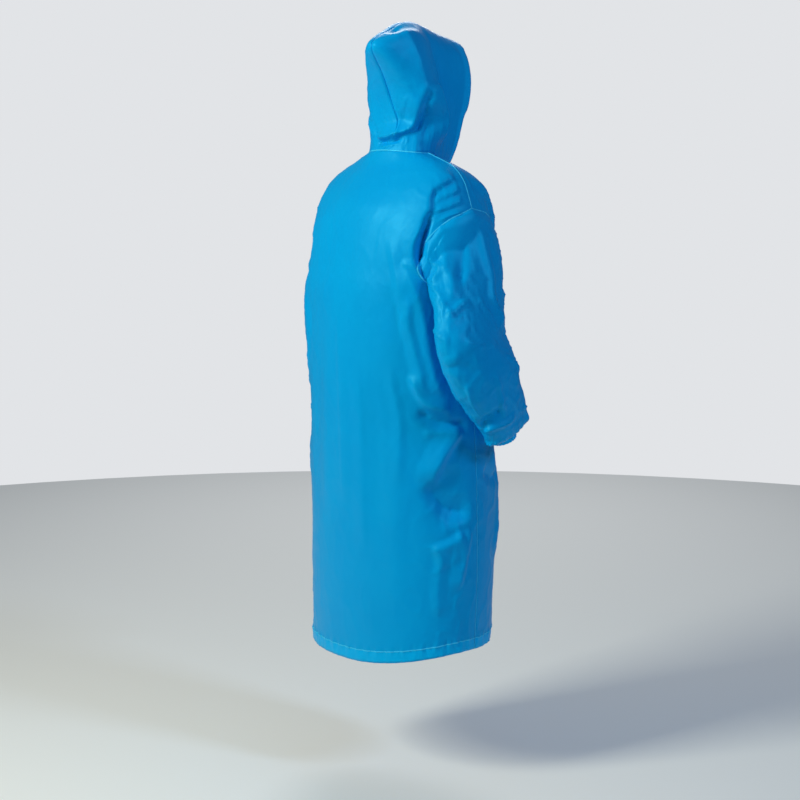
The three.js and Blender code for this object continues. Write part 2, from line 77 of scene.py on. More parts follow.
# step, depth, height, how square the cross-section is
MIDDLE_BACK = (
    (0, 62, 9, 0),
    (0.25, 74, -22, 0),
    (0.5, 96, -52, 0),
    (0.75, 121, -86, 0),
    (1, 143, -124, 0),
    (1.33, 158, -182, 0),
    (1.66, 169, -255, 0.01),
    (2, 177, -338, 0.02),
    (2.25, 176, -545, 0.02),
    (2.6, 172, -838, 0.02),
    (3, 170, -1178, 0.02),
)
MIDDLE_FRONT = (
    (0, 90, -80, 0),
    (0.25, 102, -88, 0.04),
    (0.5, 115, -98, 0.09),
    (0.75, 128, -114, 0.1),
    (1, 140, -136, 0.08),
    (1.33, 152, -192, 0.05),
    (1.66, 162, -260, 0.04),
    (2, 168, -338, 0.04),
    (2.25, 174, -540, 0.03),
    (2.6, 174, -810, 0.02),
    (3, 168, -1122, 0.02),
)
# step, height on the right, height on the left
SHOULDER_SEAM = (
    (0, 2, 2),
    (0.25, -14, -22),
    (0.43, -29, -40),
    (0.58, -47, -58),
    (0.71, -68, -76),
    (0.87, -98, -100),
    (1, -122, -122),
)
SIDE_SEAM = ((2, -333, -333), (3, -1140, -1170))
# step, angle from the middle, height
ARMHOLE_BACK = (
    (1, 90, -122),
    (1.18, 68, -145),
    (1.38, 53, -184),
    (1.52, 48, -222),
    (1.66, 47.5, -262),
    (1.8, 58, -298),
    (1.92, 76, -324),
    (2, 90, -333),
)
ARMHOLE_FRONT = (
    (1, 90, -122),
    (1.16, 68, -137),
    (1.34, 54, -172),
    (1.5, 50, -216),
    (1.66, 49.5, -258),
    (1.8, 60, -297),
    (1.92, 77, -324),
    (2, 90, -333),
)
# Soft folds: from (angle, height) to (angle, height), half width, how far the fold stands out.
# The angle is in degrees from the middle of the back, to the coat's right.
BODY_RADIUS = 210
BODY_FOLDS = (
    (60, -700, 70, -850, 44, -13),
    (-26, -300, -32, -900, 34, -4),
    (-3, -360, -4, -860, 26, 3),
    (7, -420, 11, -940, 30, 3),
    (20, -520, 19, -900, 20, -2),
    (34, -560, 30, -1080, 24, 3),
    (-18, -420, -23, -860, 22, 2.5),
    (-62, -380, -54, -700, 28, -6),
    (-80, -520, -84, -900, 28, 6),
    (-128, -330, -140, -640, 28, 6),
    (-150, -560, -146, -960, 26, -5),
    (132, -330, 146, -600, 28, 6),
    (118, -640, 126, -980, 28, 6),
    (152, -620, 148, -900, 26, -5),
)
# Sharp creases of the film: how far the edge stands out, how wide it is on the side that is to the
# right or above, how wide on the other, and the places (angle, height) that the edge runs through
BODY_CREASES = (
    # Right back: the edge from the shoulder to the armpit, and the hollow behind it
    (
        *(11, 11, 96),
        *((84, -38), (55, -76), (52, -141), (46, -173)),
        *((43, -204), (44, -239), (49, -270), (56, -304)),
    ),
    (-20, 14, 10, (54, -118), (49.5, -168), (47.5, -210), (49, -246), (55, -284)),
    # Short ones that spread from the armpit over the sleeve head
    (5, 10, 9, (54, -130), (67, -114), (82, -100)),
    (4.4, 10, 9, (54, -106), (67, -89), (82, -76)),
    (3.4, 10, 8, (55, -86), (67, -64), (80, -50)),
    (3, 8, 8, (58, -150), (68, -136), (80, -128)),
    # Below the armpit, down and out to the side
    (15, 32, 58, (37, -236), (45, -290), (52, -351), (60, -507), (71, -574)),
    (6, 8, 13, (36, -240), (46, -251), (55, -286)),
    (6, 16, 22, (46, -300), (43, -370), (50, -484), (54, -540)),
    (12, 30, 12, (43, -490), (50, -548), (58, -570), (72, -579)),
    (-13, 17, 26, (46, -575), (60, -600), (84, -613)),
    (5, 10, 16, (48, -630), (62, -624), (80, -617)),
    (14, 17, 46, (80, -612), (67, -658), (57, -717), (55, -760)),
    (-13, 44, 30, (50, -742), (62, -800), (84, -816)),
    (11, 14, 54, (52, -900), (66, -882), (77, -860)),
    (9, 14, 42, (83, -846), (77, -925), (72, -1000)),
    (5, 28, 18, (60, -900), (57, -980), (58, -1060)),
    # Long ones down the back
    (1.8, 26, 10, (-8, -330), (-5, -612), (-4, -830)),
    (1.8, 10, 28, (7, -400), (11, -603), (11, -960)),
    (4, 24, 15, (27, -180), (38, -324), (42, -430)),
    (4, 16, 22, (30, -470), (36, -600), (33, -760)),
    # Left back
    (
        *(11, 90, 12),
        *((-84, -40), (-57, -80), (-53, -145), (-45, -180), (-42, -214), (-46, -258), (-55, -298)),
    ),
    (-15, 9, 14, (-54, -126), (-49, -180), (-48, -226), (-54, -272)),
    (4.6, 9, 9, (-82, -98), (-68, -116), (-55, -134)),
    (4.2, 9, 9, (-80, -74), (-67, -92), (-55, -104)),
    (13, 52, 26, (-38, -246), (-47, -300), (-54, -380), (-62, -520), (-70, -600)),
    (6, 20, 14, (-48, -320), (-45, -420), (-51, -540)),
    (8, 14, 30, (-84, -560), (-66, -600), (-52, -610)),
    (8, 34, 16, (-60, -660), (-64, -760), (-74, -860)),
    (-8, 26, 22, (-84, -690), (-70, -706), (-56, -700)),
    (6, 14, 34, (-84, -820), (-72, -850), (-60, -880)),
    # Right front
    (12, 54, 19, (98, -52), (124, -96), (128, -150), (135, -196), (134, -236), (126, -290)),
    (12, 50, 24, (140, -250), (132, -330), (124, -460), (112, -560)),
    (7, 26, 16, (150, -300), (146, -430), (150, -560)),
    (8, 16, 30, (96, -600), (114, -640), (132, -650)),
    (-8, 24, 24, (98, -720), (112, -744), (128, -740)),
    (6, 28, 16, (128, -700), (124, -820), (116, -940)),
    (4, 16, 24, (160, -420), (157, -640), (160, -860)),
    # Left front
    (12, 19, 54, (-98, -54), (-123, -98), (-127, -152), (-134, -200), (-133, -240), (-125, -292)),
    (12, 24, 50, (-139, -254), (-131, -340), (-122, -470), (-110, -575)),
    (7, 16, 26, (-149, -310), (-146, -440), (-149, -580)),
    (8, 30, 18, (-132, -690), (-116, -670), (-97, -640)),
    (-7, 22, 24, (-130, -770), (-114, -790), (-98, -780)),
    (6, 16, 28, (-126, -720), (-123, -840), (-114, -960)),
    (4, 24, 16, (-162, -430), (-158, -650), (-161, -880)),
)


def read_table(table, step):
    """The values at a step, on a smooth curve through the rows of the table."""
    row = 0
    while row < len(table) - 2 and step > table[row + 1][0]:
        row += 1
    near, far = table[row], table[row + 1]
    before = table[max(0, row - 1)]
    after = table[min(len(table) - 1, row + 2)]
    span = far[0] - near[0]
    share = (step - near[0]) / span
    square = share * share
    cube = square * share
    values = []
    for column in range(1, len(near)):
        rise_near = rise_far = far[column] - near[column]
        if before is not near:
            rise_near = span * (far[column] - before[column]) / (far[0] - before[0])
        if after is not far:
            rise_far = span * (after[column] - near[column]) / (after[0] - near[0])
        values.append(
            near[column] * (2 * cube - 3 * square + 1)
            + rise_near * (cube - 2 * square + share)
            + far[column] * (3 * square - 2 * cube)
            + rise_far * (cube - square)
        )
    return values


def smooth(share):
    """0 below 0, 1 above 1, and a run without a kink between them."""
    kept = min(1, max(0, share))
    return kept * kept * (3 - 2 * kept)


def spread(start, end, count):
    """Even steps from start to end, both included."""
    return [start + (end - start) * index / count for index in range(count + 1)]


CREASE_STEPS = 3
# The part of its length over which a crease or fold fades out at each end
CREASE_ENDS = 0.2
FOLD_ENDS = 0.25
# How hollow a crease's sides are: at 1 they are flat
CREASE_HOLLOW = 1.12


def laid_out(creases, radius):
    """Each crease as a line on the flat, in millimetres round and up, with its length so far."""
    lines = []
    for stand, one_side, other_side, *places in creases:
        table = [
            (place, math.radians(angle) * radius, height)
            for place, (angle, height) in enumerate(places)
        ]
        last = len(places) - 1
        line = [tuple(read_table(table, step)) for step in spread(0, last, CREASE_STEPS * last)]
        runs = [0]
        for near, far in zip(line, line[1:]):
            runs.append(runs[-1] + math.dist(near, far))
        reach = max(one_side, other_side)
        across, up = [x for x, _ in line], [z for _, z in line]
        edges = (min(across) - reach, max(across) + reach, min(up) - reach, max(up) + reach)
        lines.append((stand, one_side, other_side, line, runs, edges))
    return lines


def crease_relief(lines, across, up):
    """How far the creases stand out at a place: a ridge with nearly flat sides that fades out
    towards both of its ends."""
    total = 0
    for stand, one_side, other_side, line, runs, (left, right, low, high) in lines:
        if not (left < across < right and low < up < high):
            continue
        nearest = (1e9, 0, 0)
        for (ax, az), (bx, bz), run in zip(line, line[1:], runs):
            dx, dz = bx - ax, bz - az
            length = math.hypot(dx, dz)
            share = min(1, max(0, ((across - ax) * dx + (up - az) * dz) / length**2))
            ox, oz = across - ax - dx * share, up - az - dz * share
            nearest = min(nearest, (math.hypot(ox, oz), ox * dz - oz * dx, run + share * length))
        far, aside, run = nearest
        width = one_side if aside < 0 else other_side
        if far < width:
            fade = smooth(run / runs[-1] / CREASE_ENDS) * smooth((1 - run / runs[-1]) / CREASE_ENDS)
            total += stand * fade * (1 - far / width) ** CREASE_HOLLOW
    return total


def fold_relief(folds, radius, angle, height):
    """How far the soft folds stand out at a place."""
    scale = math.radians(radius)
    stand = 0
    for angle_from, height_from, angle_to, height_to, half, out in folds:
        dx, dz = (angle_to - angle_from) * scale, height_to - height_from
        ox, oz = (angle - angle_from) * scale, height - height_from
        length = math.hypot(dx, dz)
        share = (ox * dx + oz * dz) / length**2
        if 0 < share < 1:
            aside = (ox * dz - oz * dx) / length / half
            ends = smooth(share / FOLD_ENDS) * smooth((1 - share) / FOLD_ENDS)
            stand += out * ends * math.exp(-aside * aside)
    return stand


# The finer creases have the same field, made smaller and moved
FINER = 2.3
FINER_SHIFT = Vector((7, 3, 5))


def crumple(point, size, stand):
    """Fine crossing creases: ridges where a smooth field goes through nought."""
    field = noise.noise(point / size)
    finer = noise.noise(point / size * FINER + FINER_SHIFT)
    ridges = max(0, 1 - abs(field) * 7) + 0.5 * max(0, 1 - abs(finer) * 6)
    return stand * (ridges + 0.4 * field)


# The film is calm within this angle of the middle, where it crumples by this share only
CALM_ANGLE = 30
CALM_SHARE = 0.35
BODY_CRUMPLE_SIZE = 46
BODY_CRUMPLE = 1.5
body_lines = laid_out(BODY_CREASES, BODY_RADIUS)


def body_relief(point, around):
    across = math.radians(around) * BODY_RADIUS
    restless = CALM_SHARE + (1 - CALM_SHARE) * smooth((abs(around) - CALM_ANGLE) / CALM_ANGLE)
    upright = Vector((point.x, point.y, point.z * 0.6))
    return (
        fold_relief(BODY_FOLDS, BODY_RADIUS, around, point.z)
        + crease_relief(body_lines, across, point.z)
        + crumple(upright, BODY_CRUMPLE_SIZE, BODY_CRUMPLE * restless)
    )


def half_width(side, step):
    return read_table(HALF_WIDTH, step)[0 if side == RIGHT else 1]


def body_edge(side, face, step):
    """The angle and height of a panel's edge: shoulder seam, armhole or side seam."""
    column = 0 if side == RIGHT else 1
    if step <= 1:
        return 90, read_table(SHOULDER_SEAM, step)[column]
    if step >= 2:
        return 90, read_table(SIDE_SEAM, step)[column]
    return read_table(ARMHOLE_BACK if face == BACK else ARMHOLE_FRONT, step)


def body_frame(side, face, step, turn):
    """A place on the body's plain form, the way out from it, and its angle. turn goes from 0 in
    the middle to 1 at the panel's edge, and below 0 in the overlap of the fronts."""
    depth, middle, square = read_table(MIDDLE_BACK if face == BACK else MIDDLE_FRONT, step)
    reach = half_width(side, step)
    edge_angle, edge_height = body_edge(side, face, step)
    full = math.radians(edge_angle)
    angle = turn * math.asin(OVERLAP / reach) if turn < 0 else turn * full
    fuller = 1 + square * math.sin(2 * angle) ** 2
    x = side * reach * math.sin(angle) * fuller
    y = face * depth * math.cos(angle) * fuller
    z = middle + (edge_height - middle) * math.sin(angle) ** 2 / math.sin(full) ** 2
    away = Vector((x / (reach * reach), y / (depth * depth), 0)).normalized()
    around = math.degrees(math.atan2(-x / reach, y / depth))
    return Vector((x, y, z)), away, around


def body_place(side, face, step, turn):
    """A place on the creased film, and the way out from it."""
    point, away, around = body_frame(side, face, step, turn)
    return point + away * body_relief(point, around), away


def body_point(side, face, step, turn):
    return body_place(side, face, step, turn)[0]


# The skirt's height from the underarm, the hem's, and how far inside the turned film lies
SKIRT = 842
HEM = 27
HEM_FOLD = 1.6
PUCKER = 2.8
PUCKER_WIDTH = 9
PUCKER_RADIUS = 200
# The rows down the body, with the turned hem: past the hem the film goes back up inside
SHOULDER_ROWS, ARMHOLE_ROWS, SKIRT_ROWS = 34, 44, 150
body_steps = (
    spread(0, 1, SHOULDER_ROWS)
    + spread(1, 2, ARMHOLE_ROWS)[1:]
    + spread(2, 3 - (HEM + 2) / SKIRT, SKIRT_ROWS)[1:]
    + [3 - above / SKIRT for above in (HEM, 20, 13, 6, 0)]
)
turned_steps = [3 - above / SKIRT for above in (0, 8, 17, HEM + 2)]
panel_rows = [(step, 0) for step in body_steps] + [(step, HEM_FOLD) for step in turned_steps]


def pucker(along, phase=0.0):
    return math.sin(along / 3.1 + phase) * math.sin(along / 7.3 + 1.3 + phase)


def hem_pucker(point, step):
    """Small puckers along the hem's weld, and wider ones down to the hem."""
    above = (3 - step) * SKIRT
    near = math.exp(-(((above - HEM) / PUCKER_WIDTH) ** 2))
    along = math.atan2(point.x, point.y) * PUCKER_RADIUS
    return PUCKER * near * pucker(along) + pucker(along * 0.7, 2) * smooth(1.1 - above / HEM)


def mesh_piece(name, bm, material):
    mesh = bpy.data.meshes.new(name)
    bm.to_mesh(mesh)
    bm.free()
    mesh.shade_smooth()
    mesh.materials.append(material)
    piece = bpy.data.objects.new(name, mesh)
    bpy.context.scene.collection.objects.link(piece)
    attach(piece, "root")
    return piece


def film_piece(name, columns, rows, place, double=None):
    """A grid laid over the panel's form, cut back by half a seam gap along its edges. place and
    double take a column and a row number; double says where the film lies double."""
    bm = bmesh.new()
    bmesh.ops.create_grid(bm, x_segments=columns, y_segments=rows, size=0.5)
    layers = bm.verts.layers.float.new("double_film")
    for vertex in bm.verts:
        column = round((vertex.co.x + 0.5) * columns)
        row = round((vertex.co.y + 0.5) * rows)
        vertex.co = place(column, row) * MM
        vertex[layers] = double(column, row) if double else 0
    bmesh.ops.remove_doubles(bm, verts=bm.verts, dist=0.02 * MM)
    bmesh.ops.recalc_face_normals(bm, faces=bm.faces)
    middle = sum((v.co for v in bm.verts), Vector()) / len(bm.verts)
    outward = sum(f.normal.dot(f.calc_center_median() - middle) * f.calc_area() for f in bm.faces)
    if outward < 0:
        bmesh.ops.reverse_faces(bm, faces=bm.faces)
    for vertex in [v for v in bm.verts if v.is_boundary]:
        inner = [e.other_vert(vertex).co for e in vertex.link_edges if not e.is_boundary]
        if inner:
            towards = sum(inner, Vector()) / len(inner) - vertex.co
            vertex.co += towards.normalized() * SEAM_GAP / 2 * MM
    piece = mesh_piece(name, bm, clear_blue_film)
    wall = piece.modifiers.new("film_thickness", "SOLIDIFY")
    wall.thickness = FILM * MM
    wall.offset = 0
    return piece


# The film: clear blue EVA with a satin face. It is lighter where two layers lie together. Light
# that has passed through it twice is a deeper blue; here its blue only deepens a little at random.
DOUBLE_BLUE = (0.0, 0.45, 0.94, 1)
DOUBLE_SHARE = 0.75
FILM_TINT = (0.08, 0.72, 1, 1)


def film_material(name, clear_blue, deep_blue, roughness):
    material = bpy.data.materials.new(name)
    material.use_nodes = True
    nodes, links = material.node_tree.nodes, material.node_tree.links
    shader = nodes["Principled BSDF"]
    place = nodes.new("ShaderNodeTexCoord")
    layers = nodes.new("ShaderNodeAttribute")
    layers.attribute_name = "double_film"
    cloud = nodes.new("ShaderNodeTexNoise")
    cloud.inputs["Scale"].default_value = 9
    cloud.inputs["Detail"].default_value = 3
    tint = nodes.new("ShaderNodeMix")
    tint.data_type = "RGBA"
    tint.inputs["A"].default_value = (*deep_blue, 1)
    tint.inputs["B"].default_value = (*clear_blue, 1)
    lighter = nodes.new("ShaderNodeMix")
    lighter.data_type = "RGBA"
    lighter.inputs["B"].default_value = DOUBLE_BLUE
    share = nodes.new("ShaderNodeMath")
    share.operation = "MULTIPLY"
    share.inputs[1].default_value = DOUBLE_SHARE
    patches = nodes.new("ShaderNodeTexNoise")
    patches.inputs["Scale"].default_value = 26
    patches.inputs["Detail"].default_value = 4
    gloss = nodes.new("ShaderNodeMapRange")
    gloss.inputs["To Min"].default_value = roughness - 0.05
    gloss.inputs["To Max"].default_value = roughness + 0.09
    crinkle = nodes.new("ShaderNodeTexNoise")
    crinkle.inputs["Scale"].default_value = 70
    crinkle.inputs["Detail"].default_value = 4
    bump = nodes.new("ShaderNodeBump")
    bump.inputs["Strength"].default_value = 0.25
    bump.inputs["Distance"].default_value = MM
    for texture in (cloud, patches, crinkle):
        links.new(place.outputs["Object"], texture.inputs["Vector"])
    links.new(cloud.outputs["Fac"], tint.inputs["Factor"])
    links.new(tint.outputs["Result"], lighter.inputs["A"])
    links.new(layers.outputs["Fac"], share.inputs[0])
    links.new(share.outputs["Value"], lighter.inputs["Factor"])
    links.new(lighter.outputs["Result"], shader.inputs["Base Color"])
    links.new(patches.outputs["Fac"], gloss.inputs["Value"])
    links.new(gloss.outputs["Result"], shader.inputs["Roughness"])
    links.new(crinkle.outputs["Fac"], bump.inputs["Height"])
    links.new(bump.outputs["Normal"], shader.inputs["Normal"])
    shader.inputs["Specular IOR Level"].default_value = 0.34
    shader.inputs["Specular Tint"].default_value = FILM_TINT
    return material


clear_blue_film = film_material("clear_blue_film", (0.0, 0.36, 0.79), (0.0, 0.31, 0.74), 0.41)


def body_turned(side, face, row, turn, place):
    """A place on a body panel's row, inside the panel where the hem has been turned up."""
    step, inside = panel_rows[row]
    point, away = place(side, step, turn)
    return point + away * (hem_pucker(point, step) - inside)


BACK_COLUMNS = 70


def back_place(side, step, turn):
    return body_place(side, BACK, step, turn)


def back_grid(column, row):
    across = column / BACK_COLUMNS - 1
    side = RIGHT if across < 0 else LEFT
    return body_turned(side, BACK, row, abs(across), back_place)


def hem_layers(column, row):
    """The turned hem is two layers of film."""
    return 1.0 if panel_rows[row][0] >= 3 - (HEM + 0.1) / SKIRT else 0.0


back = film_piece("back_film", 2 * BACK_COLUMNS, len(panel_rows) - 1, back_grid, hem_layers)
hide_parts("back")

# ---------------------------------------------------------------------------------------------
# The two front panels, of the same film. They meet the back at the shoulder and side seams.
# The left one lies over the right one by 40 mm in the middle, and each has a turned hem.
# ---------------------------------------------------------------------------------------------
LAYER_SHIFT = 1.2
# The neck edge is cut lower towards the middle: at the flap's edge and in the middle, in steps
FLAP_CORNER = 0.1
NECK_CORNER = 0.04
NECK_CORNER_END = 0.4
FLAP_FADE = 0.1
FRONT_COLUMNS = 64
FLAP_COLUMNS = 8


def flap_turn(side, step):
    """The turn at which the overlap ends, 2 mm past the other front's edge."""
    full = math.radians(body_edge(side, FRONT, step)[0])
    return math.asin((OVERLAP + 2) / half_width(side, step)) / full


def front_turns(side, step):
    flap = flap_turn(side, step)
    across = FLAP_COLUMNS // 2
    beyond = spread(flap, 1, FRONT_COLUMNS)
    return spread(-1, 0, across)[:-1] + spread(0, flap, across)[:-1] + beyond


def front_lift(step):
    """Straight out from the middle of the front."""
    depth_above, height_above = read_table(MIDDLE_FRONT, max(0, step - 0.02))[:2]
    depth_below, height_below = read_table(MIDDLE_FRONT, min(3, step + 0.02))[:2]
    return Vector((0, height_below - height_above, depth_below - depth_above)).normalized()


def front_place(side, step, turn):
    """In the overlap the left panel lies outside and the right one inside."""
    flap = flap_turn(side, step)
    if turn < 0:
        corner = NECK_CORNER + (FLAP_CORNER - NECK_CORNER) * -turn
    else:
        corner = NECK_CORNER * max(0, 1 - turn / flap)
    if step < NECK_CORNER_END:
        step = corner + step * (NECK_CORNER_END - corner) / NECK_CORNER_END
    point, away = body_place(side, FRONT, step, turn)
    layer = LAYER_SHIFT if side == LEFT else -LAYER_SHIFT
    return point + front_lift(step) * layer * (1 - smooth((turn - flap) / FLAP_FADE)), away


def front_panel(side, name, node):
    def front_grid(column, row):
        turn = front_turns(side, panel_rows[row][0])[column]
        return body_turned(side, FRONT, row, turn, front_place)

    columns = FRONT_COLUMNS + FLAP_COLUMNS
    piece = film_piece(name, columns, len(panel_rows) - 1, front_grid, hem_layers)
    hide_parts(node)
    return piece


front_right = front_panel(RIGHT, "front_right_film", "front_right")
front_left = front_panel(LEFT, "front_left_film", "front_left")

# ---------------------------------------------------------------------------------------------
# Sleeves. Each is one piece of film, folded along its outer side, with one weld underneath,
# and set into the armhole. The last part is gathered in to the cuff.
# ---------------------------------------------------------------------------------------------
SLEEVE_RADIUS = 85
# How far down the sleeve, in steps, the armhole's shape and the upright rings reach
ARMHOLE_REACH = 0.42
SLEEVE_UPRIGHT = 0.12
SLEEVE_CLEARANCE = 7
EDGE_FADE = 0.15
SHOULDER_TIP, UNDERARM = -122, -333
# step, outer side (out, back, height), inner side (out, back, height), half depth
SLEEVE_RIGHT = (
    (0, 223, 0, -122, 220, 0, -333, 106),
    (0.12, 238, 12, -192, 223, 17, -350, 93),
    (0.24, 262, 29, -262, 227, 34, -372, 90),
    (0.36, 292, 43, -335, 228, 46, -400, 99),
    (0.48, 322, 50, -410, 227, 54, -438, 106),
    (0.6, 340, 28, -472, 231, 30, -490, 98),
    (0.71, 338, 2, -524, 238, 4, -538, 86),
    (0.82, 334, -28, -570, 246, -26, -580, 76),
    (0.91, 326, -48, -606, 248, -44, -612, 68),
    (0.96, 318, -60, -626, 248, -56, -630, 68),
    (1, 298, -58, -634, 240, -55, -636, 32),
)
SLEEVE_LEFT = (
    (0, 223, 0, -122, 247, 0, -333, 104),
    (0.12, 246, -46, -190, 252, -48, -345, 86),
    (0.24, 271, -72, -255, 253, -78, -362, 89),
    (0.36, 286, -110, -312, 253, -114, -385, 87),
    (0.48, 292, -148, -362, 247, -148, -410, 84),
    (0.6, 290, -186, -408, 236, -182, -436, 78),
    (0.71, 284, -220, -446, 222, -214, -462, 72),
    (0.82, 272, -254, -482, 206, -246, -490, 66),
    (0.91, 262, -280, -508, 198, -270, -512, 60),
    (0.96, 258, -292, -520, 200, -282, -523, 54),
    (1, 254, -299, -526, 198, -290, -528, 32),
)
# The angle goes round the sleeve: 0 outside, 90 at the back, 180 inside, -90 in front
SLEEVE_FOLDS_RIGHT = (
    (150, -330, 60, -372, 20, -4),
    (60, -400, 10, -436, 20, 4),
    (110, -450, 30, -476, 20, -5),
    (130, -520, 40, -560, 20, 4),
    (-60, -400, -10, -440, 22, -5),
    (-70, -470, -10, -520, 22, 5),
)
SLEEVE_FOLDS_LEFT = (
    (100, -300, 30, -352, 20, -5),
    (-130, -360, -60, -330, 20, 6),
    (70, -400, 10, -450, 20, 5),
    (-60, -390, -10, -430, 20, -5),
)
SLEEVE_CREASES_RIGHT = (
    # The edge pressed down the outer side, and the hollow beside it
    (
        *(11, 11, 20),
        *((2, -132), (-10, -181), (-15, -219), (-25, -282), (-22, -319), (-35, -363), (-52, -410)),
    ),
    (-10, 18, 18, (18, -135), (17, -200), (22, -250), (32, -292)),
    (9, 24, 26, (44, -150), (46, -220), (40, -290), (48, -330)),
    # Below the armhole
    (7.5, 8, 10, (84, -232), (55, -255), (40, -262)),
    (7.5, 9, 8, (52, -256), (66, -270), (84, -286)),
    (5.6, 8, 8, (100, -270), (80, -300), (60, -312)),
    # At the elbow
    (7.5, 7, 11, (64, -360), (48, -348), (28, -330), (14, -328)),
    (5.6, 9, 7, (72, -318), (54, -341), (50, -360)),
    (5.6, 8, 8, (2, -318), (-6, -345), (-18, -366)),
    (6.4, 7, 9, (98, -462), (84, -455), (65, -449), (50, -432)),
    (5.6, 8, 9, (44, -412), (20, -420), (-8, -424)),
    (5.6, 9, 8, (-20, -440), (-40, -470), (-44, -500)),
    (7.5, 9, 9, (110, -380), (86, -400), (60, -404)),
    # Down to the cuff
    (5.6, 9, 10, (12, -478), (18, -540), (30, -590)),
    (5.6, 10, 9, (62, -500), (70, -556), (66, -590)),
    (-12, 14, 12, (96, -612), (60, -590), (34, -574), (20, -562)),
    (12, 11, 9, (92, -620), (60, -609), (22, -597), (4, -578)),
    (7.5, 9, 9, (-30, -560), (-36, -590), (-30, -620)),
    (7.5, 9, 9, (-90, -540), (-100, -580), (-96, -610)),
    (7.5, 9, 9, (-70, -300), (-96, -350), (-90, -400)),
    (5.6, 9, 9, (-110, -420), (-80, -450), (-70, -480)),
)
SLEEVE_CREASES_LEFT = (
    (9.4, 17, 9, (-2, -134), (8, -180), (14, -230), (22, -290), (20, -340)),
    (-7.5, 13, 12, (-18, -140), (-17, -190), (-22, -240), (-30, -270)),
    (5.6, 9, 12, (44, -150), (50, -210), (46, -270)),
    (7.5, 10, 8, (60, -240), (84, -262), (96, -290)),
    (7.5, 7, 11, (80, -330), (54, -324), (30, -334)),
    (5.6, 9, 7, (96, -360), (72, -362), (50, -372)),
    (7.5, 8, 10, (60, -400), (36, -412), (14, -432)),
    (5.6, 9, 9, (-160, -320), (-120, -330), (-96, -340)),
    (7.5, 9, 9, (-70, -230), (-96, -270), (-110, -310)),
    (7.5, 9, 9, (-110, -400), (-80, -410), (-60, -424)),
    (5.6, 9, 10, (60, -440), (36, -470), (20, -500)),
    (-9.4, 10, 9, (90, -486), (60, -492), (30, -508)),
    (7.5, 8, 9, (-30, -450), (-50, -474), (-60, -496)),
)
sleeve_lines = {
    RIGHT: laid_out(SLEEVE_CREASES_RIGHT, SLEEVE_RADIUS),
    LEFT: laid_out(SLEEVE_CREASES_LEFT, SLEEVE_RADIUS),
}
SLEEVE_ROWS = 112
SLEEVE_COLUMNS = 108
SLEEVE_CRUMPLE_SIZE = 36
SLEEVE_CRUMPLE = 2.2
RELIEF_FADE = 0.05
GATHERS = 18
GATHER_START = 0.84
GATHER_RUN = 0.14
GATHER_STAND = 2.2


def sleeve_direction(side, step):
    """The way that the sleeve runs at a step."""
    table = SLEEVE_RIGHT if side == RIGHT else SLEEVE_LEFT
    far = read_table(table, min(1, step + 0.05))
    near = read_table(table, max(0, min(0.9, step - 0.05)))
    move = [far[i] + far[i + 3] - near[i] - near[i + 3] for i in range(3)]
    return Vector((side * move[0], move[1], move[2])).normalized()


def clear_of_body(side, point, clearance, past_edge):
    """Moves the point out of the body. Past the armhole's edge no panel is in the way: there it
    moves by the share past_edge only."""
    below = UNDERARM - point.z
    step = 2 + below / SKIRT if below > 0 else max(1, 2 + below / (SHOULDER_TIP - UNDERARM))
    reach = half_width(side, step)
    depth, _, square = read_table(MIDDLE_BACK if point.y > 0 else MIDDLE_FRONT, step)
    ratio = math.hypot(point.x / reach, point.y / depth)
    angle = math.atan2(abs(point.x) / reach, abs(point.y) / depth)
    least = 1 + square * math.sin(2 * angle) ** 2 + clearance / depth
    if ratio < least:
        edge = body_point(side, BACK if point.y > 0 else FRONT, step, 1)
        edge_angle = math.atan2(abs(edge.x) / reach, abs(edge.y) / depth)
        beyond = smooth((angle - edge_angle) / EDGE_FADE)
        move = (least / ratio - 1) * (1 - (1 - past_edge) * beyond)
        point.x *= 1 + move
        point.y *= 1 + move
    return point


def sleeve_point(side, step, share):
    """share goes once round the sleeve, from the outer side over the back."""
    table = SLEEVE_RIGHT if side == RIGHT else SLEEVE_LEFT
    ox, oy, oz, ix, iy, iz, depth = read_table(table, step)
    outer, inner = Vector((side * ox, oy, oz)), Vector((side * ix, iy, iz))
    half = (outer - inner) / 2
    aside = sleeve_direction(side, step).cross(half).normalized() * -side
    if step < SLEEVE_UPRIGHT:
        aside = aside.lerp(Vector((0, 1, 0)), 1 - step / SLEEVE_UPRIGHT).normalized()
    angle = 2 * math.pi * share
    ring = (outer + inner) / 2 + half * math.cos(angle) + aside * depth * math.sin(angle)
    face, run = (BACK, 2 * share) if share <= 0.5 else (FRONT, 2 - 2 * share)
    armhole = body_point(side, face, 1 + run, 1)
    if step == 0:
        return armhole
    blend = 1 - min(1, step / ARMHOLE_REACH)
    clearance = SLEEVE_CLEARANCE * smooth(step / 0.1)
    point = clear_of_body(side, ring.lerp(armhole, blend * blend), clearance, 1)
    around = 360 * share if share <= 0.5 else 360 * share - 360
    folds = SLEEVE_FOLDS_RIGHT if side == RIGHT else SLEEVE_FOLDS_LEFT
    stand = (
        fold_relief(folds, SLEEVE_RADIUS, around, point.z)
        + crease_relief(sleeve_lines[side], math.radians(around) * SLEEVE_RADIUS, point.z)
        + crumple(point, SLEEVE_CRUMPLE_SIZE, SLEEVE_CRUMPLE)
    )
    away = half.normalized() * math.cos(angle) + aside * math.sin(angle)
    point += away * stand * smooth(step / RELIEF_FADE) * smooth((0.985 - step) / RELIEF_FADE)
    gathered = smooth((step - GATHER_START) / GATHER_RUN)
    uneven = 0.7 + 0.3 * math.sin(angle * 5 + 1)
    wave = math.sin(angle * GATHERS + 1.1 * math.sin(angle * 3)) * uneven
    point += away * wave * GATHER_STAND * gathered
    return clear_of_body(side, point, clearance * 0.3, 0)


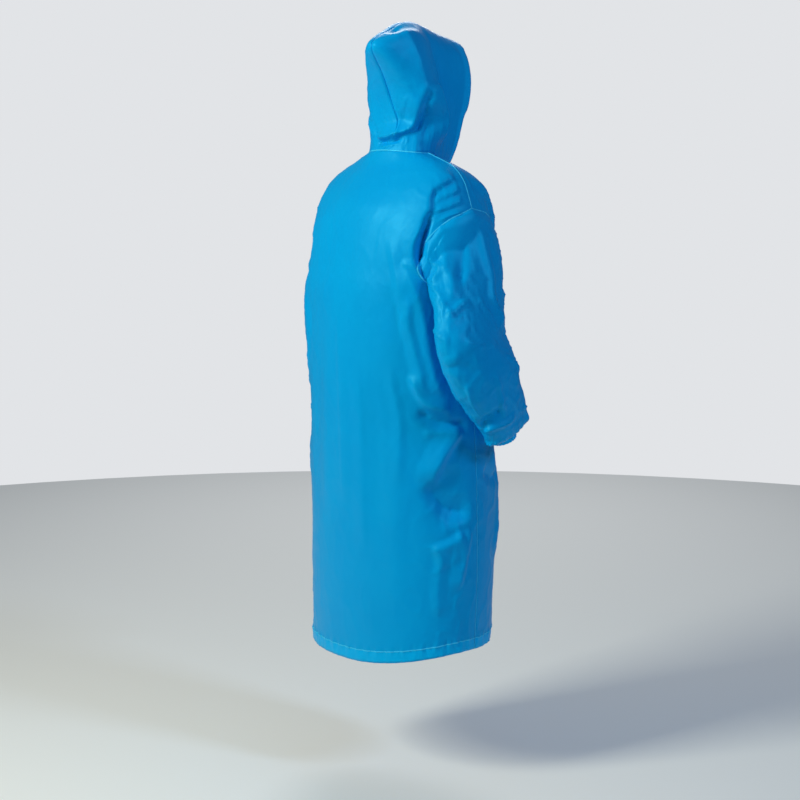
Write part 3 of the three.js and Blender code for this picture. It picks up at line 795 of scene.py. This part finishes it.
def sleeve_piece(side, name, node):
    def sleeve_grid(column, row):
        return sleeve_point(side, row / SLEEVE_ROWS, (column % SLEEVE_COLUMNS) / SLEEVE_COLUMNS)

    piece = film_piece(name, SLEEVE_COLUMNS, SLEEVE_ROWS, sleeve_grid)
    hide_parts(node)
    return piece


sleeve_right = sleeve_piece(RIGHT, "sleeve_right_film", "sleeve_right")
sleeve_left = sleeve_piece(LEFT, "sleeve_left_film", "sleeve_left")

# ---------------------------------------------------------------------------------------------
# Cuffs. The sleeve's end is turned in to a narrow casing with flat elastic in it, which gathers
# the film into a ring.
# ---------------------------------------------------------------------------------------------
CUFF_HEIGHT = 17
CUFF_OFFSET = 0.8
CUFF_COLUMNS = 144
CUFF_ROWS = 8
CUFF_GATHERS = 22


def cuff_piece(side, name, node):
    table = SLEEVE_RIGHT if side == RIGHT else SLEEVE_LEFT
    ox, oy, oz, ix, iy, iz, _ = read_table(table, 1)
    along = sleeve_direction(side, 1)
    outer, inner = Vector((side * ox, oy, oz)), Vector((side * ix, iy, iz))
    half = (outer - inner) / 2
    radius = half.length
    half.normalize()
    along = (along - half * along.dot(half)).normalized()
    aside = along.cross(half)
    middle = (outer + inner) / 2 + along * CUFF_OFFSET

    def cuff_grid(column, row):
        angle = 2 * math.pi * (column % CUFF_COLUMNS) / CUFF_COLUMNS
        share = row / CUFF_ROWS
        uneven = 0.75 + 0.25 * math.sin(angle * 7)
        wave = math.sin(angle * CUFF_GATHERS + 0.9 * math.sin(angle * 4)) * uneven
        reach = radius + 1.1 * wave * (0.5 + 0.5 * share) + 0.8 * math.sin(math.pi * share)
        out = half * math.cos(angle) + aside * math.sin(angle)
        return middle + along * CUFF_HEIGHT * share + out * reach

    piece = film_piece(name, CUFF_COLUMNS, CUFF_ROWS, cuff_grid, lambda column, row: 1.0)
    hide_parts(node)
    return piece


cuff_right = cuff_piece(RIGHT, "cuff_right_film", "cuff_right")
cuff_left = cuff_piece(LEFT, "cuff_left_film", "cuff_left")

# ---------------------------------------------------------------------------------------------
# Hood. Two halves, welded along the middle from the nape over the crown to the brim, and to the
# neck of the coat. The face edge is turned in by a hem.
# ---------------------------------------------------------------------------------------------
HOOD_TURN = 10
HOOD_CENTRE = 40
HOOD_RADIUS = 95
# part of the way round from the nape to the face edge, and three places: the seam (aside, back,
# height), beside the seam (out, back, height), and above the neck (out, back, height)
HOOD_SLICES = (
    (0, 0, 62, 9, 0, 62, 9, 0, 62, 9),
    (0.06, -18, 60, 32, 8, 60, 26, 16, 60, 17),
    (0.13, -30, 53, 62, 10, 57, 56, 26, 54, 26),
    (0.25, -12, 60, 124, 26, 58, 114, 54, 38, 52),
    (0.36, -6, 94, 192, 50, 84, 180, 70, 10, 84),
    (0.44, -7, 126, 236, 58, 108, 226, 78, -14, 108),
    (0.5, -7, 116, 259, 66, 102, 250, 87, -26, 122),
    (0.6, -6, 64, 282, 76, 60, 279, 98, -46, 138),
    (0.75, 0, -12, 305, 88, -18, 299, 106, -72, 135),
    (0.88, 0, -92, 285, 118, -96, 292, 108, -100, 60),
    (1, 0, -150, 267, 166, -152, 300, 92, -116, -30),
)
# Wide hollows that make the planes between the edges flat
HOOD_FOLDS = (
    (26, 262, 30, 96, 24, -4),
    (88, 262, 90, 110, 34, -9),
    (-28, 256, -30, 90, 24, -4),
    (-88, 256, -90, 90, 34, -9),
)
HOOD_CREASES = (
    # Right side: the long edge from the crown, and the fold that it makes over the nape
    (
        *(26, 62, 80),
        *((16, 296), (33, 258), (43, 222), (52, 177), (53, 146), (48, 104), (46, 74)),
    ),
    (13, 10, 30, (56, 130), (46, 92), (42, 60), (24, 48), (-6, 40), (-28, 38)),
    (-9, 9, 10, (40, 34), (6, 27), (-24, 25)),
    (-13, 12, 12, (60, 150), (52, 112), (49, 74), (54, 46)),
    (27, 24, 48, (66, 176), (82, 112), (96, 62), (116, 14)),
    (-8, 9, 9, (66, 24), (96, 12), (130, 8)),
    (5, 14, 26, (134, 268), (132, 180), (138, 80)),
    # Left side
    (7, 60, 60, (-16, 292), (-36, 240), (-50, 180), (-52, 140), (-46, 84)),
    (5, 26, 12, (-26, 40), (-44, 60), (-54, 96)),
    (6, 40, 16, (-66, 156), (-78, 104), (-96, 64), (-128, 26)),
    (-8, 9, 9, (-128, 8), (-96, 14), (-70, 24)),
)
hood_lines = laid_out(HOOD_CREASES, HOOD_RADIUS)
# Above the first height the film faces upwards more and more; the creases end at the second
DOME_HEIGHT = 180
CROWN_HEIGHT = 298
HOOD_CRUMPLE_SIZE = 40
HOOD_CRUMPLE = 1.0
# The hollow along the seam: its depth, and its half width in rows
HOOD_GROOVE = 3.6
GROOVE_ROWS = 1.4
# A small tuck in the seam at the crown: part of the way round, half length, drop, half width, depth
CROWN_TUCK = (0.61, 0.04, 0.07, 0.04, 7)
FACE_HEM = 0.945
HOOD_ROWS = 48


def hood_point(side, part, neck, drop):
    """drop goes from 0 at the seam to 1 at the place on the neck edge, neck."""
    if part == 0:
        return neck
    seam_aside, seam_back, seam_height, *shape = read_table(HOOD_SLICES, part)
    ends = (
        Vector((seam_aside, seam_back, seam_height)),
        Vector((side * shape[0] + seam_aside, shape[1], shape[2])),
        Vector((side * shape[3], shape[4], shape[5])),
        neck,
    )
    left = 1 - drop
    weights = (left**3, 3 * left * left * drop, 3 * left * drop * drop, drop**3)
    point = sum((end * weight for end, weight in zip(ends, weights)), Vector())
    turned = Matrix.Rotation(math.radians(HOOD_TURN), 3, "Z") @ point
    free = smooth(left / 0.2)
    out_back = point.y + HOOD_CENTRE * smooth(point.z / 100)
    away = Vector((point.x, out_back, max(0, point.z - DOME_HEIGHT))).normalized()
    around = math.degrees(math.atan2(-away.x, away.y))
    across = math.radians(around) * HOOD_RADIUS
    groove = HOOD_GROOVE * math.exp(-((drop * HOOD_ROWS / GROOVE_ROWS) ** 2))
    stand = (
        crease_relief(hood_lines, across, point.z) * smooth((CROWN_HEIGHT - point.z) / 40)
        + fold_relief(HOOD_FOLDS, HOOD_RADIUS, around, point.z)
        + crumple(point, HOOD_CRUMPLE_SIZE, HOOD_CRUMPLE)
        - groove * smooth((part - 0.1) / 0.06) * smooth((1 - part) / 0.1)
    ) * free
    if side == RIGHT:
        middle, length, low, width, depth = CROWN_TUCK
        near = math.exp(-(((part - middle) / length) ** 2) - ((drop - low) / width) ** 2)
        turned.z -= depth * near
    return point.lerp(turned, smooth((point.z + 20) / 120) * free) + away * stand


def hood_columns(side):
    """The part of the way round and the place on the neck edge, from the nape to the front."""
    back_columns = [(turn / 2, body_point(side, BACK, 0, turn)) for turn in spread(0, 1, 64)]
    front_columns = [
        (1 - turn / 2, front_place(side, 0, turn)[0]) for turn in front_turns(side, 0) if turn >= 0
    ]
    return back_columns + front_columns[-2::-1]


def hood_piece(side, name, node):
    columns = hood_columns(side)

    def hood_grid(column, row):
        part, neck = columns[column]
        return hood_point(side, part, neck, row / HOOD_ROWS)

    def face_hem(column, row):
        return 1.0 if columns[column][0] > FACE_HEM else 0.0

    piece = film_piece(name, len(columns) - 1, HOOD_ROWS, hood_grid, face_hem)
    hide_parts(node)
    return piece


hood_right = hood_piece(RIGHT, "hood_right_film", "hood_right")
hood_left = hood_piece(LEFT, "hood_left_film", "hood_left")

# ---------------------------------------------------------------------------------------------
# Welds. A hot wire or bar joins the film along every seam and hem, and leaves a thin raised
# line that is lighter than the film. The hood's middle weld is painted darker, as painted shade.
# ---------------------------------------------------------------------------------------------
WELD_WIDTH = 3.2
WELD_STAND = 1.6
WELD_SIDES = 8
LIFT = 0.8
ARMHOLE_POINTS = 144
PANELS = ((RIGHT, BACK), (LEFT, BACK), (RIGHT, FRONT), (LEFT, FRONT))
clear_weld = film_material("clear_weld", (0.06, 0.6, 0.94), (0.03, 0.53, 0.9), 0.3)


def weld_line(bm, points, outs, width=WELD_WIDTH, stand=WELD_STAND):
    """A flat bead along the points, standing on the side that outs gives."""
    rows = len(points) - 1
    made = bmesh.ops.create_grid(bm, x_segments=WELD_SIDES, y_segments=rows, size=0.5)["verts"]
    for vertex in made:
        row = round((vertex.co.y + 0.5) * rows)
        column = round((vertex.co.x + 0.5) * WELD_SIDES) % WELD_SIDES
        angle = 2 * math.pi * column / WELD_SIDES
        ahead = (points[min(rows, row + 1)] - points[max(0, row - 1)]).normalized()
        out = (outs[row] - ahead * outs[row].dot(ahead)).normalized()
        across = ahead.cross(out)
        beside = points[row] + across * math.cos(angle) * width / 2
        vertex.co = (beside + out * math.sin(angle) * stand / 2) * MM
    bmesh.ops.remove_doubles(bm, verts=made, dist=0.01 * MM)


def finish_weld(name, bm, material=clear_weld):
    """Closes the ends of the beads and makes the piece."""
    bmesh.ops.holes_fill(bm, edges=[e for e in bm.edges if e.is_boundary], sides=0)
    bmesh.ops.recalc_face_normals(bm, faces=bm.faces)
    return mesh_piece(name, bm, material)


def body_weld(bm, side, steps, lift, width=WELD_WIDTH):
    """A weld down the edge of the back; it stands upwards on the shoulder."""
    points, outs = [], []
    for step in steps:
        away = body_frame(side, BACK, step, 1)[1]
        out = (away + Vector((0, 0, 1)) * (1 - smooth((step - 0.6) / 0.6)) * 1.2).normalized()
        points.append(body_point(side, BACK, step, 1) + out * lift)
        outs.append(out)
    weld_line(bm, points, outs, width, width / 2)


bm = bmesh.new()
for side in (RIGHT, LEFT):
    body_weld(bm, side, [s for s in body_steps if s <= 1], LIFT)
    body_weld(bm, side, [s for s in body_steps if s >= 2], LIFT * 0.4, width=1.5)
shoulder_and_side_welds = finish_weld("shoulder_and_side_welds", bm)

bm = bmesh.new()
for side in (RIGHT, LEFT):
    points, outs = [], []
    for index in range(ARMHOLE_POINTS + 1):
        share = (index % ARMHOLE_POINTS) / ARMHOLE_POINTS
        face, run = (BACK, 2 * share) if share <= 0.5 else (FRONT, 2 - 2 * share)
        point = body_point(side, face, 1 + run, 1)
        away = body_frame(side, face, 1 + run, 1)[1]
        out = (away + Vector((side * 0.5, 0, 0.3 * math.cos(2 * math.pi * share)))).normalized()
        points.append(point + out * LIFT)
        outs.append(out)
    weld_line(bm, points, outs)
armhole_welds = finish_weld("armhole_welds", bm)

bm = bmesh.new()
for side, face in PANELS:
    points, outs = [], []
    for turn in spread(0, 1, 40):
        point = body_point(side, face, 0, turn) if face == BACK else front_place(side, 0, turn)[0]
        away = body_frame(side, face, 0, turn)[1]
        out = (away + Vector((0, 0, 0.4))).normalized()
        points.append(point + out * LIFT)
        outs.append(out)
    weld_line(bm, points, outs)
neck_weld = finish_weld("neck_weld", bm)

# The hood's weld begins above the fold over the nape, and lies in the hollow along the seam
NAPE = Vector((0, 62, 9))
HOOD_MIDDLE = Vector((0, -40, 120))
HOOD_WELD_START = 0.125
bm = bmesh.new()
points, outs = [], []
for part in spread(HOOD_WELD_START, 1, 120):
    point = hood_point(RIGHT, part, NAPE, 0)
    towards = hood_point(RIGHT, part, NAPE, 0.02) - hood_point(LEFT, part, NAPE, 0.02)
    further = hood_point(RIGHT, min(1, part + 0.01), NAPE, 0)
    ahead = further - hood_point(RIGHT, max(0.01, part - 0.01), NAPE, 0)
    out = towards.cross(ahead).normalized()
    if out.dot(point - HOOD_MIDDLE) < 0:
        out = -out
    points.append(point + out * 0.3)
    outs.append(out)
weld_line(bm, points, outs, width=2.4, stand=1.0)
# Its darker blue is painted shade: the shadow that falls in the hollow along the seam
painted_shade_weld = film_material("painted_shade_weld", (0.0, 0.2, 0.66), (0.0, 0.16, 0.6), 0.35)
hood_weld = finish_weld("hood_weld", bm, painted_shade_weld)

bm = bmesh.new()
hem_step = 3 - HEM / SKIRT
for side, face in PANELS:
    points, outs = [], []
    for turn in spread(0, 1, 90):
        place = back_place if face == BACK else front_place
        point, away = place(side, hem_step, turn)
        points.append(point + away * (hem_pucker(point, hem_step) + LIFT))
        outs.append(away)
    weld_line(bm, points, outs, width=2.6, stand=1.4)
hem_weld = finish_weld("hem_weld", bm)

# ---------------------------------------------------------------------------------------------
# Snaps. Six low caps of the same blue in plastic, pressed through the left front.
# ---------------------------------------------------------------------------------------------
SNAP_RADIUS = 6.5
SNAP_TOP_RADIUS = SNAP_RADIUS * 0.82
SNAP_HEIGHT = 2.4
SNAP_ROUNDING = 0.7
SNAP_STEPS = (0.8, 1.5, 2.08, 2.25, 2.42, 2.59)


def snap_material():
    material = bpy.data.materials.new("blue_snap_plastic")
    material.use_nodes = True
    nodes, links = material.node_tree.nodes, material.node_tree.links
    shader = nodes["Principled BSDF"]
    place = nodes.new("ShaderNodeTexCoord")
    cloud = nodes.new("ShaderNodeTexNoise")
    cloud.inputs["Scale"].default_value = 120
    tint = nodes.new("ShaderNodeMix")
    tint.data_type = "RGBA"
    tint.inputs["A"].default_value = (0.002, 0.22, 0.5, 1)
    tint.inputs["B"].default_value = (0.003, 0.27, 0.58, 1)
    links.new(place.outputs["Object"], cloud.inputs["Vector"])
    links.new(cloud.outputs["Fac"], tint.inputs["Factor"])
    links.new(tint.outputs["Result"], shader.inputs["Base Color"])
    shader.inputs["Roughness"].default_value = 0.25
    return material


blue_snap_plastic = snap_material()
for number, step in enumerate(SNAP_STEPS, 1):
    low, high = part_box(f"snap_{number}")
    seat = (Vector(low) + Vector(high)) / 2
    bm = bmesh.new()
    bmesh.ops.create_cone(
        bm,
        cap_ends=True,
        segments=32,
        radius1=SNAP_RADIUS * MM,
        radius2=SNAP_TOP_RADIUS * MM,
        depth=SNAP_HEIGHT * MM,
    )
    rim = [e for e in bm.edges if all(v.co.z > 0 for v in e.verts)]
    bmesh.ops.bevel(
        bm,
        geom=rim,
        offset=SNAP_ROUNDING * MM,
        segments=3,
        profile=0.5,
        affect="EDGES",
        material=-1,
    )
    turn = front_lift(step).to_track_quat("Z", "Y").to_matrix().to_4x4()
    bmesh.ops.transform(bm, matrix=Matrix.Translation(seat) @ turn, verts=bm.verts)
    piece = mesh_piece(f"snap_cap_{number}", bm, blue_snap_plastic)
    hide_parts(f"snap_{number}")

# ---------------------------------------------------------------------------------------------
# Studio. A plain pale floor, soft light from the left of the view, weaker light from its right
# and light on the floor behind. The camera stands at neck height, 45 degrees round from the back.
# ---------------------------------------------------------------------------------------------
FLOOR_HEIGHT = -1.463
bm = bmesh.new()
bmesh.ops.create_circle(bm, cap_ends=True, segments=96, radius=4.2)
bmesh.ops.translate(bm, vec=(0, 0, FLOOR_HEIGHT), verts=bm.verts)
floor_mesh = bpy.data.meshes.new("floor")
bm.to_mesh(floor_mesh)
bm.free()
floor = bpy.data.objects.new("floor", floor_mesh)
bpy.context.scene.collection.objects.link(floor)
pale = bpy.data.materials.new("pale_floor")
pale.use_nodes = True
shader = pale.node_tree.nodes["Principled BSDF"]
shader.inputs["Base Color"].default_value = (0.86, 0.87, 0.88, 1)
shader.inputs["Roughness"].default_value = 0.8
floor_mesh.materials.append(pale)

world = bpy.data.worlds.new("studio")
bpy.context.scene.world = world
world.use_nodes = True
nodes, links = world.node_tree.nodes, world.node_tree.links
surround = nodes["Background"]
surround.inputs["Color"].default_value = (0.6, 0.78, 1, 1)
surround.inputs["Strength"].default_value = 0.11
wall_behind = nodes.new("ShaderNodeBackground")
wall_behind.inputs["Color"].default_value = (0.95, 0.97, 1, 1)
wall_behind.inputs["Strength"].default_value = 0.8
ray = nodes.new("ShaderNodeLightPath")
seen = nodes.new("ShaderNodeMixShader")
links.new(ray.outputs["Is Camera Ray"], seen.inputs["Fac"])
links.new(surround.outputs["Background"], seen.inputs[1])
links.new(wall_behind.outputs["Background"], seen.inputs[2])
links.new(seen.outputs["Shader"], nodes["World Output"].inputs["Surface"])


def soft_light(name, place, aim, size, power, colour):
    lamp = bpy.data.lights.new(name, "AREA")
    lamp.shape = "RECTANGLE"
    lamp.size, lamp.size_y = size
    lamp.energy = power
    lamp.color = colour
    light = bpy.data.objects.new(name, lamp)
    light.location = place
    light.rotation_euler = (Vector(aim) - Vector(place)).to_track_quat("-Z", "Y").to_euler()
    bpy.context.scene.collection.objects.link(light)


soft_light("key", (0.5, 2.6, 1.1), (0, 0, -0.1), (0.9, 1.2), 82, (1, 1, 0.82))
soft_light("fill", (-3.3, -0.4, 1.7), (-0.1, 0, -0.2), (0.6, 0.9), 42, (0.55, 0.74, 1))
soft_light("front", (2.8, -3.0, 2.2), (0.9, -1.1, -1.2), (2, 2), 75, (1, 0.99, 0.96))

camera = bpy.data.objects.new("camera", bpy.data.cameras.new("camera"))
camera.data.lens = 84.06
camera.data.sensor_width = 36
camera.location = (-3.1085, 3.1141, 0)
# It looks along the diagonal between +X and -Y
tilt = math.radians(7.5)
level = math.sqrt(0.5)
look = Vector((level * math.cos(tilt), -level * math.cos(tilt), -math.sin(tilt)))
camera.rotation_euler = look.to_track_quat("-Z", "Y").to_euler()
bpy.context.scene.collection.objects.link(camera)
bpy.context.scene.camera = camera
bpy.context.scene.view_settings.view_transform = "Standard"
bpy.context.scene.cycles.use_denoising = True
